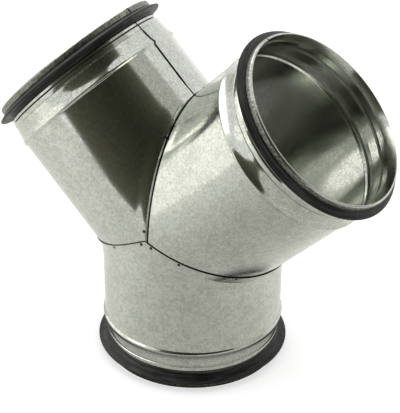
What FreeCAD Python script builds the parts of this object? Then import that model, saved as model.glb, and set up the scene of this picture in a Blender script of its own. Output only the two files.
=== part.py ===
"""Duct Y branch: a galvanised sheet-steel run that splits into two equal branches.

Three rolled barrels are mitred together. The end of the run is set out and lapped over both branches, and
the left branch is lapped over the right one. Every mouth has a rolled rim, a rubber lip gasket in a sunk seat
behind it, and a bead that stops the mating duct.

Frame: millimetres, +Z up along the run, origin at the centre of the run's mouth, branches in the XZ plane.
"""
import FreeCAD, Part
import os
import re

import Sketcher
from FreeCAD import Placement, Rotation, Vector

# Driving dimensions. A distance "from the mouth" runs along the barrel's axis.
SIZES = {
    "barrel_radius": (62.0, "outside of every barrel"),
    "wall": (0.7, "thickness of the sheet"),
    "run_length": (103.0, "run's mouth to the point where the three axes meet"),
    "branch_length": (134.0, "branch's mouth to the same point"),
    "branch_angle": (45.0, "each branch from the vertical, in degrees"),
    "seat_depth": (2.8, "barrel's outside down to the gasket's seat"),
    "seat_end": (11.4, "from the mouth to the foot of the step behind the seat"),
    "step_end": (13.2, "from the mouth to the top of that step"),
    "bead_place": (26.1, "from the mouth to the middle of the stop bead"),
    "bead_width": (3.4, "bead along the barrel"),
    "bead_height": (1.2, "bead above the barrel"),
    "rim_length": (4.4, "rolled rim along the barrel"),
    "rim_height": (1.9, "rolled rim above the gasket's seat"),
    "gasket_tail": (10.6, "from the mouth to the thin end of the gasket"),
    "gasket_root": (8.8, "from the mouth to the back of the lip's root"),
    "root_thickness": (2.2, "rubber at the lip's root"),
    "lip_reach": (5.0, "edge of the gasket's lip beyond the barrel"),
    "lip_place": (7.0, "from the mouth to that edge"),
    "rubber_clearance": (0.05, "between the gasket and the sheet"),
    "run_lap": (8.0, "width of the run's lap over the branches"),
    "branch_lap": (1.6, "width of the left branch's lap over the right one"),
    "joggle": (1.5, "length over which a lapped end is set out"),
    "lap_clearance": (0.1, "between a lap and the barrel under it"),
    "seam_gap": (0.3, "between the edges of two neighbouring laps"),
    "strip_width": (2.6, "welded overlap along a barrel"),
    "strip_height": (0.35, "that overlap above the barrel"),
}

doc = FreeCAD.newDocument("duct_y_branch")
sheet = doc.addObject("Spreadsheet::Sheet", "sizes")
for row, (alias, (value, meaning)) in enumerate(SIZES.items(), start=1):
    sheet.set(f"A{row}", meaning)
    sheet.set(f"B{row}", str(value))
    sheet.setAlias(f"B{row}", alias)
doc.recompute()


def bound(formula):
    """The formula with each size's name pointing at its cell in the sheet."""
    return re.sub(r"[a-z_]{3,}", lambda word: f"sizes.{word[0]}" if word[0] in SIZES else word[0], formula)


def number(formula):
    """The formula's present value."""
    return float(sheet.evalExpression(bound(formula)))


# Sizes that follow from the driving ones
BORE = "(barrel_radius - wall)"
SEAT = "(barrel_radius - seat_depth)"
SEAT_BORE = f"({SEAT} - wall)"
RIM = f"({SEAT} + rim_height)"
STEP_SHIFT = "(wall * tan(atan(seat_depth / (step_end - seat_end)) / 2))"
BEAD_START, BEAD_END = "(bead_place - bead_width / 2)", "(bead_place + bead_width / 2)"
STRIP_TOP = "(barrel_radius + strip_height)"
LAP_INSIDE = "(barrel_radius + lap_clearance)"
LAP_OUTSIDE = f"({LAP_INSIDE} + wall)"
RUN_SLOPE = "tan(branch_angle / 2)"
CROTCH_SLOPE = "(1 / tan(branch_angle))"
RUN_LAP_RISE = "(run_lap / cos(branch_angle / 2))"
LAP_EDGE_RISE = f"({RUN_LAP_RISE} + seam_gap)"
REACH = "(2 * barrel_radius)"


def origin_plane(body, role):
    """One of the body's own origin planes, by its role."""
    return next(feature for feature in body.Origin.OriginFeatures if feature.Role == role)


def outline(body, name, corners):
    """A closed sketch on the body's XZ plane. A corner is a pair of formulas: across, and along the axis."""
    sketch = body.newObject("Sketcher::SketchObject", name)
    sketch.AttachmentSupport = [(origin_plane(body, "XZ_Plane"), "")]
    sketch.MapMode = "FlatFace"
    places = [Vector(number(across), number(along), 0) for across, along in corners]
    ends = places[1:] + places[:1]
    edges = [sketch.addGeometry(Part.LineSegment(*pair), False) for pair in zip(places, ends)]
    for edge, next_edge in zip(edges, edges[1:] + edges[:1]):
        sketch.addConstraint(Sketcher.Constraint("Coincident", edge, 2, next_edge, 1))
    for edge, corner in zip(edges, corners):
        for kind, formula in zip(("DistanceX", "DistanceY"), corner):
            distance = Sketcher.Constraint(kind, -1, 1, edge, 1, number(formula))
            sketch.setExpression(f"Constraints[{sketch.addConstraint(distance)}]", bound(formula))
    return sketch


def revolve(body, name, sketch, angle="360"):
    """The sketch turned about the body's Z axis, evenly to both sides of its plane."""
    feature = body.newObject("PartDesign::Revolution", name)
    feature.Profile = sketch
    feature.ReferenceAxis = (sketch, ["V_Axis"])
    feature.Midplane = True
    feature.setExpression("Angle", f"({bound(angle)}) * 1 deg")
    return feature


def prism(name, corners):
    """A bar that runs along Y, with its outline in the XZ plane."""
    body = doc.addObject("PartDesign::Body", name)
    pad = body.newObject("PartDesign::Pad", f"{name}_pad")
    pad.Profile = outline(body, f"{name}_outline", corners)
    pad.SideType = "Symmetric"
    pad.setExpression("Length", bound(f"2 * {REACH}"))
    body.Tip = pad
    return body


def place(thing, turn, across="0", height="0"):
    """Turns a thing about the Y axis, +Z towards +X, and sets it in the plane of the axes."""
    thing.Placement = Placement(Vector(), Rotation(Vector(0, 1, 0), number(turn)))
    thing.setExpression(".Placement.Rotation.Angle", f"({bound(turn)}) * 1 deg")
    thing.setExpression(".Placement.Base.x", bound(across))
    thing.setExpression(".Placement.Base.z", bound(height))


def sleeve(name, inside, outside, turn):
    """A plain tube that starts where the axes meet, turned about Y from +Z."""
    walls = []
    for side, radius in (("outside", outside), ("inside", inside)):
        cylinder = doc.addObject("Part::Cylinder", f"{name}_{side}")
        cylinder.setExpression("Radius", bound(radius))
        cylinder.setExpression("Height", bound(REACH))
        place(cylinder, turn, height="run_length")
        walls.append(cylinder)
    tube = doc.addObject("Part::Cut", name)
    tube.Base, tube.Tool = walls
    return tube


def cut_to(name, tube, bar):
    """The part of a tube that lies inside a bar."""
    common = doc.addObject("Part::MultiCommon", name)
    common.Shapes = [tube, bar]
    return common


def joined(name, pieces):
    """One sheet made of the pieces."""
    fuse = doc.addObject("Part::MultiFuse", name)
    fuse.Shapes = pieces
    fuse.Refine = True
    return fuse


def barrel(name, length, slopes, strip_side, strip_end):
    """A rolled barrel with its mouth at the origin and its axis running inwards along +Z.

    Its far end is cut like a roof, with one slope on the -X side and one on the +X side, and its ridge where
    the axes meet. The welded overlap runs from the bead to strip_end on the side given.
    """
    body = doc.addObject("PartDesign::Body", name)
    end = f"({length} + wall)"
    corners = [
        ("barrel_radius", end),
        ("barrel_radius", BEAD_END),
        ("barrel_radius + bead_height", "bead_place"),
        ("barrel_radius", BEAD_START),
        ("barrel_radius", "step_end"),
        (SEAT, "seat_end"),
        (SEAT, "rim_length"),
        (RIM, "rim_length"),
        (RIM, "0"),
        (SEAT_BORE, "0"),
        (SEAT_BORE, f"seat_end + {STEP_SHIFT}"),
        (BORE, f"step_end + {STEP_SHIFT}"),
        (BORE, end),
    ]
    revolve(body, f"{name}_wall", outline(body, f"{name}_profile", corners))

    low, high = f"{strip_side} * (barrel_radius - wall / 2)", f"{strip_side} * {STRIP_TOP}"
    strip = [(low, BEAD_END), (high, BEAD_END), (high, strip_end), (low, strip_end)]
    strip_angle = "180 * strip_width / (pi * barrel_radius)"
    overlap = revolve(body, f"{name}_overlap", outline(body, f"{name}_overlap_profile", strip), strip_angle)
    doc.recompute()
    uncut = overlap.Shape.Volume

    left_slope, right_slope = slopes
    roof = [
        ("0", length),
        (REACH, f"{length} - {REACH} * {right_slope}"),
        (REACH, f"{length} + {REACH}"),
        (f"-{REACH}", f"{length} + {REACH}"),
        (f"-{REACH}", f"{length} - {REACH} * {left_slope}"),
    ]
    mitre = body.newObject("PartDesign::Pocket", f"{name}_mitre")
    mitre.Profile = outline(body, f"{name}_roof", roof)
    mitre.Type = "ThroughAll"
    mitre.SideType = "Symmetric"
    body.Tip = mitre
    doc.recompute()
    if mitre.Shape.Volume >= uncut:
        raise RuntimeError(f"{name}: the mitre removed nothing")
    return body


def gasket(name):
    """A lip gasket, its foot on the seat behind the rim and its lip swept out and back over the seat."""
    body = doc.addObject("PartDesign::Body", name)
    inside = f"({SEAT} + rubber_clearance)"
    corners = [
        (inside, "rim_length + rubber_clearance"),
        (inside, "gasket_tail"),
        (f"{inside} + root_thickness", "gasket_root"),
        ("barrel_radius + lip_reach", "lip_place"),
    ]
    body.Tip = revolve(body, f"{name}_rubber", outline(body, f"{name}_profile", corners))
    return body


# The three barrels. Seen along their own axes, the run meets two branches at the same slope, and a branch
# meets the run on its lower side and the other branch on its crotch side.
BRANCH_HEIGHT = "run_length + branch_length * cos(branch_angle)"
BRANCH_ACROSS = "branch_length * sin(branch_angle)"
LEFT_TURN, RIGHT_TURN = "180 - branch_angle", "branch_angle - 180"
CLEAR_OF_LAP = f"(branch_lap + seam_gap + {STRIP_TOP} * cos(branch_angle)) / sin(branch_angle)"

run_sheet = barrel("run_sheet", "run_length", (RUN_SLOPE, RUN_SLOPE), "-1", "run_length")
left_sheet = barrel("left_sheet", "branch_length", (CROTCH_SLOPE, RUN_SLOPE), "-1", "branch_length")
right_branch = barrel("right_branch", "branch_length", (RUN_SLOPE, CROTCH_SLOPE), "1",
                      f"branch_length - {CLEAR_OF_LAP}")
place(left_sheet, LEFT_TURN, f"-({BRANCH_ACROSS})", BRANCH_HEIGHT)
place(right_branch, RIGHT_TURN, BRANCH_ACROSS, BRANCH_HEIGHT)

# The run's end: a set-out collar below the mitre, and a lap along each branch above it.
run_collar = cut_to(
    "run_collar",
    sleeve("run_collar_tube", "(barrel_radius - wall / 2)", LAP_OUTSIDE, "180"),
    prism("run_collar_bar", [
        ("0", "run_length"),
        (REACH, f"run_length - {REACH} * {RUN_SLOPE}"),
        (REACH, f"run_length - {REACH} * {RUN_SLOPE} - joggle"),
        ("0", "run_length - joggle"),
        (f"-{REACH}", f"run_length - {REACH} * {RUN_SLOPE} - joggle"),
        (f"-{REACH}", f"run_length - {REACH} * {RUN_SLOPE}"),
    ]))
lap_over_right = cut_to(
    "lap_over_right",
    sleeve("right_lap_tube", LAP_INSIDE, LAP_OUTSIDE, "branch_angle"),
    prism("right_lap_bar", [
        ("0", "run_length"),
        (REACH, f"run_length - {REACH} * {RUN_SLOPE}"),
        (REACH, f"run_length - {REACH} * {RUN_SLOPE} + {RUN_LAP_RISE}"),
        ("0", f"run_length + {RUN_LAP_RISE}"),
    ]))
lap_over_left = doc.addObject("Part::Mirroring", "lap_over_left")
lap_over_left.Source = lap_over_right
lap_over_left.Normal = Vector(1, 0, 0)
run_barrel = joined("run_barrel", [run_sheet, run_collar, lap_over_right, lap_over_left])

# The left branch's crotch edge: a set-out collar on its own side, and a lap on the right branch. Both start
# clear of the run's laps.
left_collar = cut_to(
    "left_collar",
    sleeve("left_collar_tube", "(barrel_radius - wall / 2)", LAP_OUTSIDE, "-branch_angle"),
    prism("left_collar_bar", [
        ("0", f"run_length + {LAP_EDGE_RISE}"),
        ("0", f"run_length + {REACH}"),
        ("-joggle", f"run_length + {REACH}"),
        ("-joggle", f"run_length + {LAP_EDGE_RISE} - joggle * {RUN_SLOPE}"),
    ]))
crotch_lap = cut_to(
    "crotch_lap",
    sleeve("crotch_lap_tube", LAP_INSIDE, LAP_OUTSIDE, "branch_angle"),
    prism("crotch_lap_bar", [
        ("0", f"run_length + {LAP_EDGE_RISE}"),
        ("branch_lap", f"run_length + {LAP_EDGE_RISE} - branch_lap * {RUN_SLOPE}"),
        ("branch_lap", f"run_length + {REACH}"),
        ("0", f"run_length + {REACH}"),
    ]))
left_branch = joined("left_branch", [left_sheet, left_collar, crotch_lap])

# The three gaskets, each behind the rim of its own barrel
run_gasket = gasket("run_gasket")
left_gasket = gasket("left_gasket")
right_gasket = gasket("right_gasket")
place(left_gasket, LEFT_TURN, f"-({BRANCH_ACROSS})", BRANCH_HEIGHT)
place(right_gasket, RIGHT_TURN, BRANCH_ACROSS, BRANCH_HEIGHT)

doc.recompute()
for thing in doc.Objects:
    if {"Invalid", "Error"} & set(thing.State):
        raise RuntimeError(f"{thing.Label} failed: {thing.State}")

SUB_PARTS = [run_barrel, left_branch, right_branch, run_gasket, left_gasket, right_gasket]
for piece in SUB_PARTS:
    if piece.Shape.isNull() or not piece.Shape.isValid():
        raise RuntimeError(f"{piece.Label} has no sound shape")
    if len(piece.Shape.Solids) != 1:
        raise RuntimeError(f"{piece.Label} is in {len(piece.Shape.Solids)} pieces")

os.makedirs("parts", exist_ok=True)
for piece in SUB_PARTS:
    piece.Shape.exportStep(f"parts/{piece.Label}.step")
    print(piece.Label, f"{piece.Shape.Volume:.0f} mm3", piece.Shape.BoundBox)
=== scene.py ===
import math

import bpy
import numpy as np
from mathutils import Matrix


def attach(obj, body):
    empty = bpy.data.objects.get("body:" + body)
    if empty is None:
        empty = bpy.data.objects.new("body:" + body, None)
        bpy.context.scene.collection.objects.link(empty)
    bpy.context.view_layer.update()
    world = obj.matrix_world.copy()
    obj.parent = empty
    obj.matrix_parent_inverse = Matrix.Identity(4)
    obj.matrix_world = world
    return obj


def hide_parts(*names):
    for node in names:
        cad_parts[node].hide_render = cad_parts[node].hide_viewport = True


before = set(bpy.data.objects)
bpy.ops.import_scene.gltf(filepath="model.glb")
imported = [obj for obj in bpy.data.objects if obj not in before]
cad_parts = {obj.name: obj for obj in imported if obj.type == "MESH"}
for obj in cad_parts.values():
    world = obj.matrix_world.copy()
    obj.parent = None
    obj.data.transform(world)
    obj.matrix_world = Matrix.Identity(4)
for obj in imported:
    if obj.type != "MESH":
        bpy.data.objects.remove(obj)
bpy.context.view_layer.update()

# Run barrel
# The upright barrel is 0.7 mm galvanised sheet, rolled round and welded along a narrow overlap on its left.
# Its mouth is rolled over into a rim, with a sunk gasket seat and a stop bead behind it. Its upper end is cut
# like a roof, set out and lapped over both branches.
MM = 0.001
FULL_TURN = 2 * math.pi
BARREL = 62 * MM
SHEET = 0.7 * MM
RUN_LENGTH = 103 * MM
BRANCH_ANGLE = math.radians(45)
HALF_ANGLE = BRANCH_ANGLE / 2
MEETING_POINT = np.array([0, 0, RUN_LENGTH])
UP, ACROSS = np.eye(3)[[2, 0]]

LAP_CLEARANCE = 0.1 * MM
RUN_LAP = 8 * MM
LEFT_LAP_TRIM = 2 * MM
CUT_EDGE_SLOPE = 0.5 * MM
LAP_BOTTOM = BARREL + LAP_CLEARANCE
LAP_TOP = BARREL + SHEET
JOGGLE_START, JOGGLE_END = 0.5 * MM, 13 * MM
FIRST_SET_OUT_ROW = 0.15 * MM

OVERLAP_WIDTH = 2.6 * MM
OVERLAP_HEIGHT = 0.45 * MM
OVERLAP_GROOVE = 0.3 * MM
GROOVE_WIDTH = 1.3 * MM
GROOVE_SIDE = 0.1 * MM
CREASE_WIDTH = 0.2 * MM
CUT_HALF = 0.08 * MM
CREASE_SHADE = 0.35
STEP_END = 17.5 * MM
PLAIN_START = 31 * MM

# The sheet's section at a mouth, in millimetres: distance from the axis, distance from the mouth, fillet.
# It runs down the outside over the bead and the seat, round the rolled rim, and back up the bore.
MOUTH_SECTION = [
    (62.0, 31.0, 0.0), (62.0, 29.9, 0.8), (63.2, 28.8, 0.7), (63.2, 28.1, 2.0), (61.95, 24.7, 19.0),
    (61.3, 21.0, 50.0), (60.88, 17.3, 0.1), (60.55, 17.1, 0.06), (60.55, 16.8, 0.06), (60.85, 16.6, 0.1),
    (60.75, 14.0, 0.2), (60.15, 12.8, 0.2), (60.15, 11.3, 0.2), (59.2, 10.8, 0.2), (59.2, 6.0, 2.0),
    (60.85, 0.75, 0.12), (61.3, 0.75, 0.12), (61.3, 4.4, 0.1), (62.0, 4.4, 0.3), (62.0, 0.0, 1.6),
    (60.3, 0.0, 0.1), (58.5, 6.0, 2.0), (58.5, 10.4, 0.8), (59.35, 11.9, 0.8), (60.05, 14.3, 1.0),
    (60.6, 21.0, 2.0), (61.25, 24.8, 2.0), (62.45, 28.1, 0.5), (62.45, 28.6, 0.5), (61.3, 29.8, 1.0),
    (61.3, 31.0, 0.0),
]
RIM_OUTSIDE = 61.7 * MM
BORE_WEAR = 0.15

# How finely the surfaces are divided, and the angle from which an edge between two faces looks sharp. The
# steps round a barrel are a multiple of four, so that some points lie at its front and back.
FILLET_STEPS = 6
STEPS_ROUND = 240
SET_OUT_STEPS = 14
PLAIN_STEPS = 8
SHARP_ANGLE = math.radians(38)


def filleted(corners, closed=False):
    """An array of (radius, along) in metres. Each corner is replaced by the arc of its fillet radius that
    touches both its sides; the arc's points turn evenly about its centre, which lies on the bisector."""
    points = np.array(corners, float) * MM
    count = len(points)
    pieces = []
    for i in range(count):
        corner, fillet = points[i, :2], points[i, 2]
        if fillet == 0 or (not closed and i in (0, count - 1)):
            pieces.append(corner[None])
            continue
        to_last = points[i - 1, :2] - corner
        to_next = points[(i + 1) % count, :2] - corner
        to_last /= np.linalg.norm(to_last)
        to_next /= np.linalg.norm(to_next)
        half = math.acos(np.clip(to_last @ to_next, -1, 1)) / 2
        bisector = (to_last + to_next) / np.linalg.norm(to_last + to_next)
        centre = corner + bisector * fillet / math.sin(half)
        first = corner + to_last * fillet / math.tan(half) - centre
        last = corner + to_next * fillet / math.tan(half) - centre
        turn = math.pi - 2 * half
        share = np.linspace(0, 1, FILLET_STEPS + 1)[:, None]
        arc = np.sin((1 - share) * turn) * first + np.sin(share * turn) * last
        pieces.append(centre + arc / math.sin(turn))
    return np.concatenate(pieces)


def outward(section):
    """Unit normals of a section that runs with the sheet on its right: each is the direction between the two
    neighbouring points, turned a quarter turn to the left."""
    run = np.gradient(section, axis=0)
    normal = np.stack([-run[:, 1], run[:, 0]], axis=1)
    return normal / np.linalg.norm(normal, axis=1, keepdims=True)


def smooth(low, high, value):
    """0 below low and 1 above high, with the curve 3 t^2 - 2 t^3 between them."""
    share = np.clip((value - low) / (high - low), 0, 1)
    return share * share * (3 - 2 * share)


def angles_round(overlap_angle, extra=()):
    """Angles all round a barrel, evenly spaced but for the extra ones and a close group across the welded
    overlap: at its crease, its middle, its cut edge and the groove's far side."""
    even = np.linspace(0, FULL_TURN, STEPS_ROUND, endpoint=False)
    crease = -OVERLAP_WIDTH + np.array([-0.3, -0.1, 0.1]) * MM
    cut_edge = np.array([-0.12, 0.0, 0.1, 0.6]) * MM
    far_side = [GROOVE_WIDTH - GROOVE_SIDE, GROOVE_WIDTH + GROOVE_SIDE]
    close = np.concatenate([crease, [-OVERLAP_WIDTH / 2], cut_edge, far_side]) / BARREL
    angles = np.concatenate([even, extra, (overlap_angle + close) % FULL_TURN])
    return np.unique(angles.round(6))[None]


def overlap_distance(theta, overlap_angle):
    """Distance round the barrel from the overlap's cut edge, negative on the sheet that lies on top."""
    return ((theta - overlap_angle + math.pi) % FULL_TURN - math.pi) * BARREL


def overlap_lift(distance):
    """How far the welded overlap stands out: it rises at its crease, climbs gently to the cut edge and drops
    there into a narrow groove."""
    crease = [-OVERLAP_WIDTH - CREASE_WIDTH, -OVERLAP_WIDTH]
    cut_edge = [-CUT_HALF, CUT_HALF]
    far_side = [GROOVE_WIDTH - GROOVE_SIDE, GROOVE_WIDTH]
    lifts = [0, OVERLAP_HEIGHT / 2, OVERLAP_HEIGHT, -OVERLAP_GROOVE, -OVERLAP_GROOVE, 0]
    return np.interp(distance, crease + cut_edge + far_side, lifts)


def overlap_shade(distance):
    """Painted shade of the overlap: full in the groove, slight along the crease."""
    crease = [-OVERLAP_WIDTH - 0.25 * MM, -OVERLAP_WIDTH, -OVERLAP_WIDTH + 0.25 * MM]
    cut_edge = [-0.12 * MM, 0.05 * MM]
    far_side = [GROOVE_WIDTH - GROOVE_SIDE, GROOVE_WIDTH + GROOVE_SIDE]
    return np.interp(distance, crease + cut_edge + far_side, [0, CREASE_SHADE, 0, 0, 1, 1, 0])


def on_barrel(place, radius, along, theta):
    """Points of a barrel: its mouth's centre, plus a distance along the axis inwards, plus a radius turned by
    theta from the barrel's own across direction."""
    mouth, inward, across = place
    beside = np.cross(inward, across)
    radius, along, theta = np.broadcast_arrays(radius, along, theta)
    spoke = np.cos(theta)[..., None] * across + np.sin(theta)[..., None] * beside
    return mouth + along[..., None] * inward + radius[..., None] * spoke


def mouth_rows(place, theta, overlap_angle):
    """The rolled rim, seat, step and bead, and their shade: the mouth's section turned about the axis, moved
    along its own normal by the welded overlap. Below the step only the groove shows."""
    section = filleted(MOUTH_SECTION)
    normal = outward(section)
    distance = overlap_distance(theta, overlap_angle)
    lift = overlap_lift(distance)
    lift = np.where(section[:, 1:] > STEP_END, lift, np.minimum(lift, 0))
    radius = section[:, :1] + normal[:, :1] * lift
    along = section[:, 1:] + normal[:, 1:] * lift
    points = on_barrel(place, radius, along, theta)
    return points, np.broadcast_to(overlap_shade(distance), points.shape[:2])


def wear_rows(grid, bore_rows):
    """Wear of a barrel's skin, whose last rows are the mouth's section and the bore: none on the barrel's
    outside, full round the rolled rim and slight in the bore."""
    radius, along = filleted(MOUTH_SECTION).T
    rim = (radius > RIM_OUTSIDE) & (along < STEP_END)
    past_rim = np.arange(len(rim)) > np.flatnonzero(rim)[-1]
    section_wear = np.where(rim, 1.0, np.where(past_rim, BORE_WEAR, 0.0))
    unworn = np.zeros(len(grid) - len(rim) - bore_rows)
    rows = np.concatenate([unworn, section_wear, np.full(bore_rows, BORE_WEAR)])
    return np.broadcast_to(rows[:, None], grid.shape[:2])


def wrapped_quads(rows, columns):
    """Faces over a grid that wraps round both ways: each joins a point to the next in its row and to those
    two in the next row."""
    index = np.arange(rows * columns).reshape(rows, columns)
    right, below = np.roll(index, -1, axis=1), np.roll(index, -1, axis=0)
    return np.stack([index, right, np.roll(below, -1, axis=1), below], axis=-1).reshape(-1, 4)


def linked_object(name, data):
    """An object at the origin, in the scene."""
    piece = bpy.data.objects.new(name, data)
    bpy.context.scene.collection.objects.link(piece)
    return piece


def mesh_piece(name, grid, attributes=(), uv=None):
    """A closed skin over a grid of points that wraps round both ways, with a value or a UV place for each
    point. Faces are turned to enclose a positive volume."""
    quads = wrapped_quads(*grid.shape[:2])
    points = grid.reshape(-1, 3)
    a, b, c, d = (points[quads[:, i]] for i in range(4))
    volume = (np.cross(a - points[0], b - points[0]) * (c - points[0])).sum()
    volume += (np.cross(a - points[0], c - points[0]) * (d - points[0])).sum()
    if volume < 0:
        quads = quads[:, ::-1]
    mesh = bpy.data.meshes.new(name)
    mesh.from_pydata(points.tolist(), [], quads.tolist())
    for label, values in attributes:
        layer = mesh.attributes.new(label, "FLOAT", "POINT")
        layer.data.foreach_set("value", np.ascontiguousarray(values, np.float32).ravel())
    if uv is not None:
        layer = mesh.uv_layers.new(name="UVMap")
        corners = np.empty(len(mesh.loops), np.int32)
        mesh.loops.foreach_get("vertex_index", corners)
        layer.data.foreach_set("uv", uv.reshape(-1, 2)[corners].astype(np.float32).ravel())
    mesh.shade_smooth()
    mesh.set_sharp_from_angle(angle=SHARP_ANGLE)
    mesh.update()
    return linked_object(name, mesh)


def on_branch_above_run(theta, rise, radius):
    """Points of the run's laps, on the cylinders of the two branches. A point lies at the given rise above
    the mitre plane, so it lies (rise - radius cos(turn) sin(half)) / cos(half) along the branch's axis, where
    half is half the branch's angle. The turn spreads so that the two laps meet in the middle plane."""
    rise, radius, theta = np.broadcast_arrays(rise, radius, theta)
    nearly_zero = 1e-9
    side = np.where(np.cos(theta) > -nearly_zero, 1.0, -1.0)
    fold = np.arctan2(np.sin(theta), np.abs(np.cos(theta)))
    start = np.arccos(2 * math.sin(HALF_ANGLE) * rise / radius)
    turn = math.pi - fold * (math.pi - start) / (math.pi / 2)
    along = (rise - radius * np.cos(turn) * math.sin(HALF_ANGLE)) / math.cos(HALF_ANGLE)
    x = side * (along * math.sin(BRANCH_ANGLE) - radius * np.cos(turn) * math.cos(BRANCH_ANGLE))
    z = along * math.cos(BRANCH_ANGLE) + radius * np.cos(turn) * math.sin(BRANCH_ANGLE)
    return MEETING_POINT + np.stack([x, radius * np.sin(turn), z], axis=-1)


def lap_width(theta):
    """Width of the run's lap at an angle: trimmed narrower on the left, where cos(theta) is negative."""
    return RUN_LAP - LEFT_LAP_TRIM * smooth(0.0, 0.5, -np.cos(theta))


def run_mitre(radius, theta):
    """Distance from the run's mouth to its mitre planes, at a radius and an angle."""
    return RUN_LENGTH - radius * np.abs(np.cos(theta)) * math.tan(HALF_ANGLE)


def set_out_from(lapped, lift, rows):
    """Radius of the outside where it is set out for a lap, at rows of a distance from the lap's fold. Away
    from the fold it settles on the barrel, or on the welded overlap that stands out from it."""
    step = (LAP_TOP - BARREL) * lapped * (1 - smooth(JOGGLE_START, JOGGLE_END, rows))
    return BARREL + np.maximum(step, lift * smooth(0, JOGGLE_END, rows))


RUN_PLACE = (np.zeros(3), UP, ACROSS)
RUN_OVERLAP = math.pi
LAP_SHARES = np.array([0, 0.25, 0.5, 0.75, 0.95, 1.0])[:, None]
run_theta = angles_round(RUN_OVERLAP)
lap_rise = LAP_SHARES * lap_width(run_theta)
set_out_rows = np.linspace(FIRST_SET_OUT_ROW, JOGGLE_END, SET_OUT_STEPS)[:, None]
plain_share = np.linspace(0, 1, PLAIN_STEPS)[:, None]

run_lift = overlap_lift(overlap_distance(run_theta, RUN_OVERLAP))
set_out_radius = set_out_from(1, run_lift, set_out_rows)
set_out_along = run_mitre(set_out_radius, run_theta) - set_out_rows
plain_along = set_out_along[-1:] + (PLAIN_START - set_out_along[-1:]) * plain_share[1:-1]
bore_along = PLAIN_START + (run_mitre(BARREL - SHEET, run_theta) - PLAIN_START) * plain_share[1:]
mouth, mouth_shade = mouth_rows(RUN_PLACE, run_theta, RUN_OVERLAP)
run_grid = np.concatenate([
    on_branch_above_run(run_theta, lap_rise, LAP_BOTTOM),
    on_branch_above_run(run_theta, lap_rise[-1:] + CUT_EDGE_SLOPE, BARREL + LAP_CLEARANCE / 2),
    on_branch_above_run(run_theta, lap_rise[::-1], LAP_TOP),
    on_barrel(RUN_PLACE, set_out_radius, set_out_along, run_theta),
    on_barrel(RUN_PLACE, BARREL + run_lift, plain_along, run_theta),
    mouth,
    on_barrel(RUN_PLACE, BARREL - SHEET, bore_along, run_theta),
])
# Painted shade: the rows round the run lap's cut edge are darkened, for the dark cut edge and the shadow of
# the gap under it.
run_shade = np.zeros(run_grid.shape[:2])
cut_edge_row = len(lap_rise)
run_shade[cut_edge_row - 1:cut_edge_row + 2] = 1
first_mouth_row = len(run_grid) - len(bore_along) - len(mouth)
run_shade[first_mouth_row:first_mouth_row + len(mouth)] = mouth_shade
run_wear = wear_rows(run_grid, len(bore_along))
run_barrel = mesh_piece("run_sheet", run_grid, [("seam", run_shade), ("wear", run_wear)])

# Galvanised finish of all the sheet: bright zinc with a fine mottled grain and soft, slightly uneven gloss.
# Cut edges are dark; weld grooves, creases and lap edges carry painted shade; rolled rims and bores are worn
# duller.
ZINC_PALE, ZINC_DULL = (0.680, 0.700, 0.640), (0.480, 0.495, 0.450)
SPANGLE_SHARE, CLOUD_SHARE = 0.12, 0.2
MOTTLE_LOW, MOTTLE_HIGH = 0.4, 0.6
EDGE_DARK_AND_SHADE = (0.012, 0.012, 0.011, 1)
WORN_DULL = (0.14, 0.137, 0.115, 1)
WORN_ROUGHNESS = 0.3


def add_node(tree, kind, settings=None, numbered=None, **named):
    """A node with its settings, and its sockets, by number or by name, set to values or joined to sockets."""
    node = tree.nodes.new(kind)
    for key, value in (settings or {}).items():
        setattr(node, key, value)
    sockets = [(node.inputs[number], value) for number, value in (numbered or {}).items()]
    sockets += [(node.inputs[name.replace("_", " ")], value) for name, value in named.items()]
    for socket, value in sockets:
        if isinstance(value, bpy.types.NodeSocket):
            tree.links.new(value, socket)
        else:
            socket.default_value = value
    return node


def mix_colours(tree, share, first, second):
    """The first colour at a share of 0 and the second at 1. A mix node's colours are its sockets 6 and 7."""
    mix = add_node(tree, "ShaderNodeMix", {"data_type": "RGBA"}, {6: first, 7: second}, Factor=share)
    return mix.outputs[2]


def mix_values(tree, share, first, second):
    """The first value at a share of 0 and the second at 1."""
    mix = add_node(tree, "ShaderNodeMix", {"data_type": "FLOAT"}, Factor=share, A=first, B=second)
    return mix.outputs["Result"]


def calculated(tree, operation, *values):
    """The result of a sum, product or other operation on values or sockets."""
    return add_node(tree, "ShaderNodeMath", {"operation": operation}, dict(enumerate(values))).outputs[0]


def stretched(tree, value, low, high, first=0.0, last=1.0):
    """A value moved from the span low to high onto the span first to last, and kept inside it."""
    ends = {"From_Min": low, "From_Max": high, "To_Min": first, "To_Max": last}
    return add_node(tree, "ShaderNodeMapRange", Value=value, **ends).outputs["Result"]


def attribute(tree, label):
    """The value that a mesh keeps at each point under a label."""
    return add_node(tree, "ShaderNodeAttribute", {"attribute_name": label}).outputs["Fac"]


def new_material(name):
    """A material with nodes, its tree and its main shader."""
    material = bpy.data.materials.new(name)
    material.use_nodes = True
    return material, material.node_tree, material.node_tree.nodes["Principled BSDF"]


zinc, tree, shader = new_material("galvanised_zinc")
place = add_node(tree, "ShaderNodeTexCoord").outputs["Object"]
grain = add_node(tree, "ShaderNodeTexNoise", Vector=place, Scale=700.0, Detail=3.0, Roughness=0.75)
cloud = add_node(tree, "ShaderNodeTexNoise", Vector=place, Scale=45.0, Detail=4.0, Roughness=0.55)
flake = add_node(tree, "ShaderNodeTexNoise", Vector=place, Scale=650.0, Detail=2.0, Roughness=0.6)
spangle = add_node(tree, "ShaderNodeTexVoronoi", Vector=place, Scale=340.0)
spangle = add_node(tree, "ShaderNodeSeparateColor", Color=spangle.outputs["Color"]).outputs["Red"]
grain = mix_values(tree, SPANGLE_SHARE, grain.outputs["Fac"], spangle)
mottle = mix_values(tree, CLOUD_SHARE, grain, cloud.outputs["Fac"])
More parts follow.
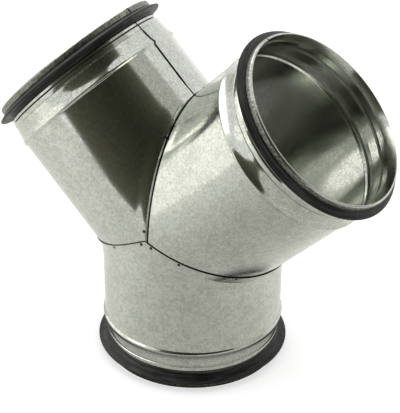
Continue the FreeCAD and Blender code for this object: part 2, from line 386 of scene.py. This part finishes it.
# Sockets 7 to 10 of this node are the span that the mottle covers and the colours at its two ends.
mottle_span = {7: (MOTTLE_LOW,) * 3, 8: (MOTTLE_HIGH,) * 3, 9: ZINC_DULL, 10: ZINC_PALE}
colour = add_node(tree, "ShaderNodeMapRange", {"data_type": "FLOAT_VECTOR"}, mottle_span, Vector=mottle)
wear = attribute(tree, "wear")
flaking = stretched(tree, flake.outputs["Fac"], low=0.38, high=0.62, first=0.55)
worn = calculated(tree, "MULTIPLY", wear, flaking)
colour = mix_colours(tree, worn, colour.outputs["Vector"], WORN_DULL)
# The seam value paints shade into the weld grooves, creases, lap edges and crotch lap, on top of the real
# dark cut edges.
colour = mix_colours(tree, attribute(tree, "seam"), colour, EDGE_DARK_AND_SHADE)
roughness = stretched(tree, mottle, MOTTLE_LOW, MOTTLE_HIGH, first=0.17, last=0.09)
roughness = calculated(tree, "MULTIPLY_ADD", wear, WORN_ROUGHNESS, roughness)
bump = add_node(tree, "ShaderNodeBump", Strength=0.08, Distance=0.03 * MM, Height=grain)
tree.links.new(colour, shader.inputs["Base Color"])
tree.links.new(roughness, shader.inputs["Roughness"])
tree.links.new(bump.outputs["Normal"], shader.inputs["Normal"])
shader.inputs["Metallic"].default_value = 1.0

run_barrel.data.materials.append(zinc)
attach(run_barrel, "root")
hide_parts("run_barrel")

# Right branch
# The same rolled barrel, tilted to the right and welded along its crotch side. Its inner end is cut by two
# planes, one against the run and one against the left branch, and stays plain under their laps.
BRANCH_LENGTH = 134 * MM
BRANCH_OVERLAP = 0.0
CLEAR_OF_LAP = 4.5 * MM
OVERLAP_RAMP = 1 * MM


def branch_place(side):
    """Mouth, inward axis and crotch direction of the branch on one side, 1 for right and -1 for left."""
    axis = np.array([side * math.sin(BRANCH_ANGLE), 0, math.cos(BRANCH_ANGLE)])
    crotch = np.array([-side * math.cos(BRANCH_ANGLE), 0, math.sin(BRANCH_ANGLE)])
    return MEETING_POINT + BRANCH_LENGTH * axis, -axis, crotch


def branch_mitre(radius, theta):
    """Distance from a branch's mouth to its end: against the other branch on the crotch side, where
    cos(theta) is positive, and against the run on the other side."""
    reach = radius * np.cos(theta)
    cut_away = np.where(reach > 0, reach / math.tan(BRANCH_ANGLE), -reach * math.tan(HALF_ANGLE))
    return BRANCH_LENGTH - cut_away


RIGHT_PLACE = branch_place(1)
right_theta = angles_round(BRANCH_OVERLAP)
right_distance = overlap_distance(right_theta, BRANCH_OVERLAP)
plain_along = branch_mitre(BARREL, right_theta) * (1 - plain_share[:-1]) + PLAIN_START * plain_share[:-1]
from_end = branch_mitre(BARREL, right_theta) - plain_along
right_lift = overlap_lift(right_distance) * smooth(CLEAR_OF_LAP, CLEAR_OF_LAP + OVERLAP_RAMP, from_end)
bore_along = PLAIN_START + (branch_mitre(BARREL - SHEET, right_theta) - PLAIN_START) * plain_share[1:]
mouth, _ = mouth_rows(RIGHT_PLACE, right_theta, BRANCH_OVERLAP)
right_grid = np.concatenate([
    on_barrel(RIGHT_PLACE, BARREL + right_lift, plain_along, right_theta),
    mouth,
    on_barrel(RIGHT_PLACE, BARREL - SHEET, bore_along, right_theta),
])
right_shade = np.broadcast_to(overlap_shade(right_distance), right_grid.shape[:2])
right_wear = wear_rows(right_grid, len(bore_along))
right_branch = mesh_piece("right_sheet", right_grid, [("seam", right_shade), ("wear", right_wear)])
right_branch.data.materials.append(zinc)
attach(right_branch, "root")
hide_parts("right_branch")

# Left branch
# The mirrored barrel. Along the crotch seam its edge is set out and lapped a little way over the right
# branch; the lap ends just above the run's lap.
LEFT_PLACE = branch_place(-1)
CROTCH_LAP = 1.6 * MM
CROTCH_LAP_STEPS = 4
# Painted shade on the crotch lap's top, dimming its bright reflection.
CROTCH_LAP_SHADE = 0.6
SEAM_GAP = 0.3 * MM
EDGE_TURN = math.radians(0.15)
INNER_SHARE, OUTER_SHARE = 0.9, 0.05


def crotch_lap_end(across):
    """Angle where the crotch lap ends, at a distance across from the middle plane: the line that runs along
    the run's lap edge at the seam's gap."""
    rise = (RUN_LAP + SEAM_GAP) / math.cos(HALF_ANGLE) - across / math.sin(BRANCH_ANGLE)
    return np.arccos(rise * math.sin(BRANCH_ANGLE) / LAP_TOP)


def on_right_from_left(theta, across, radius):
    """Points of the crotch lap, on the right branch's cylinder: at a distance across from the middle plane,
    so the distance along the right axis is across / sin(angle) + radius cos(turn) / tan(angle)."""
    theta, across, radius = np.broadcast_arrays(theta, across, radius)
    turn = theta * crotch_lap_end(across) / crotch_lap_end(0.0)
    along = across / math.sin(BRANCH_ANGLE) + radius * np.cos(turn) / math.tan(BRANCH_ANGLE)
    z = along * math.cos(BRANCH_ANGLE) + radius * np.cos(turn) * math.sin(BRANCH_ANGLE)
    return MEETING_POINT + np.stack([across, -radius * np.sin(turn), z], axis=-1)


lap_ends = crotch_lap_end(0.0) + np.array([-EDGE_TURN, EDGE_TURN])
left_theta = angles_round(BRANCH_OVERLAP, [*lap_ends, *(FULL_TURN - lap_ends)])
signed_theta = (left_theta + math.pi) % FULL_TURN - math.pi
lapped = 1 - np.clip((np.abs(signed_theta) - lap_ends[0]) / (lap_ends[1] - lap_ends[0]), 0, 1)

# Past the lap's ends the same rows lie on the barrel's plain cut end, across the sheet's thickness.
lap_across = np.linspace(0, CROTCH_LAP, CROTCH_LAP_STEPS)[:, None]
lap_rows = np.concatenate([
    on_right_from_left(signed_theta, lap_across, LAP_BOTTOM),
    on_right_from_left(signed_theta, CROTCH_LAP + CUT_EDGE_SLOPE, BARREL + LAP_CLEARANCE / 2),
    on_right_from_left(signed_theta, lap_across[::-1], LAP_TOP),
])
end_radius = BARREL - SHEET * np.linspace(INNER_SHARE, OUTER_SHARE, len(lap_rows))[:, None]
end_rows = on_barrel(LEFT_PLACE, end_radius, branch_mitre(end_radius, left_theta), left_theta)
lap_rows = lapped[..., None] * lap_rows + (1 - lapped[..., None]) * end_rows

left_distance = overlap_distance(left_theta, BRANCH_OVERLAP)
left_lift = overlap_lift(left_distance)
set_out_radius = set_out_from(lapped, left_lift, set_out_rows)
set_out_along = branch_mitre(set_out_radius, left_theta) - set_out_rows
plain_along = set_out_along[-1:] + (PLAIN_START - set_out_along[-1:]) * plain_share[1:-1]
bore_along = PLAIN_START + (branch_mitre(BARREL - SHEET, left_theta) - PLAIN_START) * plain_share[1:]
mouth, _ = mouth_rows(LEFT_PLACE, left_theta, BRANCH_OVERLAP)
left_grid = np.concatenate([
    lap_rows,
    on_barrel(LEFT_PLACE, set_out_radius, set_out_along, left_theta),
    on_barrel(LEFT_PLACE, BARREL + left_lift, plain_along, left_theta),
    mouth,
    on_barrel(LEFT_PLACE, BARREL - SHEET, bore_along, left_theta),
])
left_shade = np.broadcast_to(overlap_shade(left_distance), left_grid.shape[:2]).copy()
cut_edge_row = len(lap_across)
# Painted shade: the crotch lap's top is darkened part way, and its cut edge fully, for the dark edge and the
# shadow of the gap under it.
left_shade[:len(lap_rows)] = 0
left_shade[cut_edge_row + 2:len(lap_rows)] = CROTCH_LAP_SHADE * lapped
left_shade[cut_edge_row - 1:cut_edge_row + 2] = lapped
left_wear = wear_rows(left_grid, len(bore_along))
left_branch = mesh_piece("left_sheet", left_grid, [("seam", left_shade), ("wear", left_wear)])
left_branch.data.materials.append(zinc)
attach(left_branch, "root")
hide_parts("left_branch")

# Spot welds
# Small scorched spots fix the laps to the barrel under them, in rows just inside the lap edges. They are the
# sheet's own metal, burnt dark and raised a little.
SPOT_RADIUS = 1.15 * MM
SPOT_HEIGHT = 0.16 * MM
SPOT_INSET = 1.5 * MM
CROTCH_SPOT_INSET = 2.6 * MM
SPOT_STEPS = 12
NUDGE_ROUND, NUDGE_OVER = 0.001, 0.1 * MM
SCORCH_DARK, SCORCH_PALE = (0.02, 0.02, 0.019, 1), (0.10, 0.10, 0.095, 1)

run_spot_theta = np.radians([0, 36, 69, 86, 92.4, 114, 147, 180])
run_spot_theta = np.concatenate([run_spot_theta, -run_spot_theta[1:-1]])
crotch_spot_theta = np.radians([80.5, 35.7, -13, -58])


def on_run_lap(theta, more):
    """Points of the run's laps at the spots' inset, moved a little more over the lap."""
    return on_branch_above_run(theta, lap_width(theta) - SPOT_INSET + more, LAP_TOP)


def beside_crotch(theta, more):
    """Points of the left barrel at the spots' inset from the crotch seam, where it is already set out, moved
    a little more along the barrel."""
    along = branch_mitre(LAP_TOP, theta) - (CROTCH_SPOT_INSET - CROTCH_LAP) / math.sin(BRANCH_ANGLE)
    return on_barrel(LEFT_PLACE, LAP_TOP, along + more, theta)


def spot_frames(points_at, angles):
    """Centre, outward normal and two tangents of each spot, from points a little way round and a little way
    across the lap."""
    centre = points_at(angles, 0.0)
    round_way = points_at(angles + NUDGE_ROUND, 0.0) - centre
    over_way = points_at(angles, NUDGE_OVER) - centre
    round_way /= np.linalg.norm(round_way, axis=-1, keepdims=True)
    normal = np.cross(round_way, over_way)
    normal /= np.linalg.norm(normal, axis=-1, keepdims=True)
    inside = ((centre - MEETING_POINT) * normal).sum(-1, keepdims=True) < 0
    normal = np.where(inside, -normal, normal)
    return np.stack([centre, normal, round_way, np.cross(normal, round_way)])


run_spots = spot_frames(on_run_lap, run_spot_theta)
crotch_spots = spot_frames(beside_crotch, crotch_spot_theta)
centre, normal, first, second = np.concatenate([run_spots, crotch_spots], axis=1)[:, :, None, None]
spot_ring = np.array([1.0, 0.8, 0.45, 0.12, 0.45, 0.8])[:, None, None]
spot_level = np.array([0.0, 0.6, 1.0, 0.7, -0.6, -0.8])[:, None, None] * SPOT_HEIGHT
spot_turn = np.linspace(0, FULL_TURN, SPOT_STEPS, endpoint=False)[None, :, None]
flat = np.cos(spot_turn) * first + np.sin(spot_turn) * second
spot_grids = centre + SPOT_RADIUS * spot_ring * flat + spot_level * normal
spot_count, rows, columns = spot_grids.shape[:3]
first_points = np.arange(spot_count)[:, None, None] * rows * columns
quads = (wrapped_quads(rows, columns) + first_points).reshape(-1, 4)
mesh = bpy.data.meshes.new("spot_welds")
mesh.from_pydata(spot_grids.reshape(-1, 3).tolist(), [], quads.tolist())
mesh.shade_smooth()
mesh.update()
spot_welds = linked_object("spot_welds", mesh)

scorch, tree, shader = new_material("scorched_zinc")
place = add_node(tree, "ShaderNodeTexCoord").outputs["Object"]
burn = add_node(tree, "ShaderNodeTexNoise", Vector=place, Scale=900.0, Detail=2.0)
colour = mix_colours(tree, burn.outputs["Fac"], SCORCH_DARK, SCORCH_PALE)
tree.links.new(colour, shader.inputs["Base Color"])
shader.inputs["Metallic"].default_value = 0.9
shader.inputs["Roughness"].default_value = 0.45
spot_welds.data.materials.append(scorch)
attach(spot_welds, "root")

# Lip gaskets
# Black rubber rings, moulded in one piece. The foot sits in the sunk seat behind the rolled rim and the lip
# sweeps out from it, so that it bends when a duct is pushed over it.
GASKET_SECTION = [
    (59.6, 4.6, 0.1), (59.25, 6.3, 0.3), (59.25, 10.6, 0.1), (59.7, 10.6, 0.2), (61.2, 9.1, 1.4),
    (66.4, 7.9, 0.35), (67.0, 6.95, 0.4), (64.3, 5.6, 4.0), (62.0, 4.6, 0.3),
]
RUBBER_BLACK, RUBBER_SHEEN = (0.003, 0.003, 0.003, 1), (0.05, 0.05, 0.046, 1)
# How closely the streaks lie round the ring and across its section.
STREAKS = (18.0, 70.0, 1.0)

rubber, tree, shader = new_material("black_rubber")
ring_place = add_node(tree, "ShaderNodeUVMap", {"uv_map": "UVMap"}).outputs["UV"]
ring_place = add_node(tree, "ShaderNodeMapping", Vector=ring_place, Scale=STREAKS).outputs["Vector"]
streak = add_node(tree, "ShaderNodeTexNoise", Vector=ring_place, Scale=1.0, Detail=5.0, Roughness=0.6)
streak = streak.outputs["Fac"]
place = add_node(tree, "ShaderNodeTexCoord").outputs["Object"]
dust = add_node(tree, "ShaderNodeTexNoise", Vector=place, Scale=160.0, Detail=4.0)
# Painted sheen: the streaks mix a grey into the black rubber's colour.
sheen_share = stretched(tree, streak, low=0.42, high=0.72)
colour = mix_colours(tree, sheen_share, RUBBER_BLACK, RUBBER_SHEEN)
roughness = stretched(tree, dust.outputs["Fac"], low=0.3, high=0.7, first=0.34, last=0.52)
bump = add_node(tree, "ShaderNodeBump", Strength=0.5, Distance=0.1 * MM, Height=streak)
tree.links.new(colour, shader.inputs["Base Color"])
tree.links.new(roughness, shader.inputs["Roughness"])
tree.links.new(bump.outputs["Normal"], shader.inputs["Normal"])
shader.inputs["Specular IOR Level"].default_value = 0.28

gasket_radius, gasket_along = filleted(GASKET_SECTION, closed=True).T[:, :, None]
gasket_theta = np.linspace(0, FULL_TURN, STEPS_ROUND, endpoint=False)[None]
section_share = np.linspace(0, 1, len(gasket_radius))[:, None]
gasket_uv = np.stack(np.broadcast_arrays(gasket_theta / FULL_TURN, section_share), axis=-1)
gasket_places = {"run_gasket": RUN_PLACE, "left_gasket": LEFT_PLACE, "right_gasket": RIGHT_PLACE}
for node, gasket_place in gasket_places.items():
    points = on_barrel(gasket_place, gasket_radius, gasket_along, gasket_theta)
    gasket = mesh_piece(node.replace("gasket", "lip_ring"), points, uv=gasket_uv)
    gasket.data.materials.append(rubber)
    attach(gasket, "root")
    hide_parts(node)

# Floor
# A wide white table top that keeps the soft shadow under the rim. It glows a little for the rays that see it
# directly or as a mirror image, so that it looks white.
FLOOR_HALF = 6.0
FLOOR_WHITE = (0.82, 0.82, 0.82, 1)
FLOOR_GLOW = 0.52
floor_mesh = bpy.data.meshes.new("floor")
floor_corners = [(x * FLOOR_HALF, y * FLOOR_HALF, 0) for x, y in ((-1, -1), (1, -1), (1, 1), (-1, 1))]
floor_mesh.from_pydata(floor_corners, [], [(0, 1, 2, 3)])
floor = linked_object("floor", floor_mesh)


def seen_directly(tree):
    """1 for rays from the camera and for mirrored and transmitted ones, and 0 for the rest."""
    path = add_node(tree, "ShaderNodeLightPath")
    seen = calculated(tree, "MAXIMUM", path.outputs["Is Camera Ray"], path.outputs["Is Glossy Ray"])
    return calculated(tree, "MAXIMUM", seen, path.outputs["Is Transmission Ray"])


table, tree, shader = new_material("white_table")
shader.inputs["Base Color"].default_value = FLOOR_WHITE
shader.inputs["Roughness"].default_value = 0.9
shader.inputs["Specular IOR Level"].default_value = 0.0
shader.inputs["Emission Color"].default_value = (1, 1, 1, 1)
glow = calculated(tree, "MULTIPLY", seen_directly(tree), FLOOR_GLOW)
tree.links.new(glow, shader.inputs["Emission Strength"])
floor_mesh.materials.append(table)

# Studio
# A white room with soft lamps round the object. The bright metal mirrors a tall dark card on the camera's
# side, a grey card to its right, white and grey cards to the left, and a table top that is darkest in front.
ROOM_LIGHT = 0.62
CARD_STEPS = 24
CARD_BLUE, DARK_BLUE = 0.95, 0.7
NEAR, MIDDLE, FAR = 0.62, 0.75, 1.0
world = bpy.data.worlds.new("white_room")
bpy.context.scene.world = world
world.use_nodes = True
tree = world.node_tree
level = stretched(tree, seen_directly(tree), low=0.0, high=1.0, first=ROOM_LIGHT)
tree.links.new(level, tree.nodes["Background"].inputs["Strength"])
tree.nodes["Background"].inputs["Color"].default_value = (1, 1, 1, 1)


def card(name, points, level, blue=CARD_BLUE):
    """A card over a grid of points, which gives off its own light and shows only as a mirror image. The level
    holds the light at each point, and blue is the share of blue in it."""
    rows, columns = points.shape[:2]
    index = np.arange(rows * columns).reshape(rows, columns)
    quads = np.stack([index[:-1, :-1], index[:-1, 1:], index[1:, 1:], index[1:, :-1]], axis=-1)
    mesh = bpy.data.meshes.new(name)
    mesh.from_pydata(points.reshape(-1, 3).tolist(), [], quads.reshape(-1, 4).tolist())
    layer = mesh.attributes.new("level", "FLOAT", "POINT")
    layer.data.foreach_set("value", np.broadcast_to(level, (rows, columns)).astype(np.float32).ravel())
    piece = linked_object(name, mesh)
    material, tree, shader = new_material(name)
    shader.inputs["Base Color"].default_value = (0, 0, 0, 1)
    shader.inputs["Specular IOR Level"].default_value = 0.0
    shader.inputs["Emission Color"].default_value = (1, 1, blue, 1)
    tree.links.new(attribute(tree, "level"), shader.inputs["Emission Strength"])
    mesh.materials.append(material)
    piece.visible_camera = False
    piece.visible_diffuse = False
    piece.visible_transmission = False
    piece.visible_shadow = False


def standing_card(name, azimuths, heights, level, distance, blue=CARD_BLUE):
    """A curved card round the object, between two azimuths in degrees, 0 in front and 90 to the right, and
    between two heights, each one value or one for each step round."""
    azimuth = np.radians(np.linspace(*azimuths, CARD_STEPS))
    ring = np.stack([np.sin(azimuth), -np.cos(azimuth)], axis=-1) * distance
    edges = [np.column_stack([ring, np.broadcast_to(height, CARD_STEPS)]) for height in heights]
    card(name, np.stack(edges), level, blue)


# The dark card is blackest in its middle and stands nearest. Its lower edge rises to the right.
DARK_START, DARK_MIDDLE, DARK_END = -16.4, 35, 88
DARKEST_LEVEL, PALER_BY, PALER_AFTER = 0.035, 0.075, 50
DARK_LIFT, LIFT_START, LIFT_END = 0.28, 15, 60
dark_azimuth = np.linspace(DARK_START, DARK_END, CARD_STEPS)
dark_level = DARKEST_LEVEL + PALER_BY * ((dark_azimuth - DARK_MIDDLE) / PALER_AFTER) ** 2
dark_bottom = DARK_LIFT * smooth(LIFT_START, LIFT_END, dark_azimuth)
standing_card("dark_card", (DARK_START, DARK_END), (dark_bottom, 2.2), dark_level, NEAR, DARK_BLUE)
standing_card("right_grey_card", (DARK_END - 1, 128), (0.0, 1.5), 0.57, MIDDLE)

# The white card is brighter at its top than at its foot.
white_level = np.array([1.28, 1.5])[:, None]
standing_card("left_white_card", (-95, -35), (0.0, 0.365), white_level, NEAR)
standing_card("left_grey_card", (-125, -97), (0.0, 0.6), 0.72, FAR)
standing_card("high_left_card", (-150, -38), (0.7, 2.2), 3.1, FAR)

# The table's mirror image: darkest in front, brightest behind and to the left, a little brighter away from
# the object, dim inside the run's mouth and shaded close round its rim.
TABLE_HEIGHT = 0.5 * MM
TABLE_STEPS = 73
TABLE_MIDDLE, TABLE_SWING, TABLE_DARKEST = 0.82, 0.27, math.radians(28)
TABLE_TURN, TABLE_BRIGHTEST = 1.3, -0.12
TABLE_RISE, RISE_START, RISE_END = 0.13, 0.12, 0.5
SHADED, UNSHADED = 0.062, 0.078
INSIDE_LEVEL = 0.2
azimuth = np.linspace(-math.pi, math.pi, TABLE_STEPS)[None]
reach = np.array([0, 0.058, 0.064, 0.07, 0.078, 0.1, 0.15, 0.2, 0.3, 0.45, 0.6, 0.8, FAR])[:, None]
table_places = np.broadcast_arrays(reach * np.sin(azimuth), -reach * np.cos(azimuth), TABLE_HEIGHT)
aside = azimuth - TABLE_DARKEST
aside = np.where(aside < 0, np.maximum(aside * TABLE_TURN, -math.pi), aside)
table_level = TABLE_MIDDLE - TABLE_SWING * np.maximum(np.cos(aside), TABLE_BRIGHTEST)
table_level = table_level + TABLE_RISE * smooth(RISE_START, RISE_END, reach)
table_level = table_level * smooth(SHADED, UNSHADED, reach)
card("table_image", np.stack(table_places, axis=-1), np.where(reach < BARREL, INSIDE_LEVEL, table_level))


def aimed_at(target, azimuth, elevation, distance, roll=0.0):
    """A place at a distance from a target, turned to look at it. The azimuth is 0 in front and 90 to the
    right, and the roll turns it about its line of sight, all in degrees."""
    turn, lift, tilt = np.radians([azimuth, elevation, roll])
    back = np.array([math.sin(turn) * math.cos(lift), -math.cos(turn) * math.cos(lift), math.sin(lift)])
    level_right = np.array([math.cos(turn), math.sin(turn), 0])
    right = math.cos(tilt) * level_right + math.sin(tilt) * np.cross(back, level_right)
    axes = np.eye(4)
    axes[:3, :3] = np.column_stack([right, np.cross(back, right), back])
    axes[:3, 3] = target + back * distance
    return Matrix(axes.tolist())


LAMP_TARGET = np.array([0, 0, 0.12])


def soft_lamp(name, azimuth, elevation, distance, width, height, power):
    """A large area lamp aimed at the object's middle, placed by azimuth and elevation in degrees."""
    data = bpy.data.lights.new(name, "AREA")
    data.shape = "RECTANGLE"
    data.size, data.size_y, data.energy = width, height, power
    lamp = linked_object(name, data)
    lamp.matrix_world = aimed_at(LAMP_TARGET, azimuth, elevation, distance)
    lamp.visible_camera = False
    lamp.visible_glossy = False


soft_lamp("left_lamp", azimuth=-70, elevation=14, distance=1.6, width=1.2, height=1.1, power=5.8)
soft_lamp("right_lamp", azimuth=140, elevation=40, distance=1.8, width=1.2, height=1.0, power=3.8)
soft_lamp("top_lamp", azimuth=20, elevation=88, distance=1.9, width=1.6, height=1.6, power=8.0)

# Camera
# It stands to the right and above, as far away as the photograph's perspective shows. The angles, distance
# and lens were fitted to the rims, seams and outlines together.
CAMERA_TARGET = np.array([0.00509, 0, 0.10912])
CAMERA_AZIMUTH, CAMERA_ELEVATION, CAMERA_ROLL = 29.62, 29.33, 0.62
CAMERA_DISTANCE = 0.9136
CAMERA_LENS, SENSOR_WIDTH = 117.12, 36
camera_data = bpy.data.cameras.new("camera")
camera_data.lens = CAMERA_LENS
camera_data.sensor_width = SENSOR_WIDTH
camera = linked_object("camera", camera_data)
camera.matrix_world = aimed_at(CAMERA_TARGET, CAMERA_AZIMUTH, CAMERA_ELEVATION, CAMERA_DISTANCE, CAMERA_ROLL)
bpy.context.scene.camera = camera
bpy.context.scene.view_settings.view_transform = "Standard"
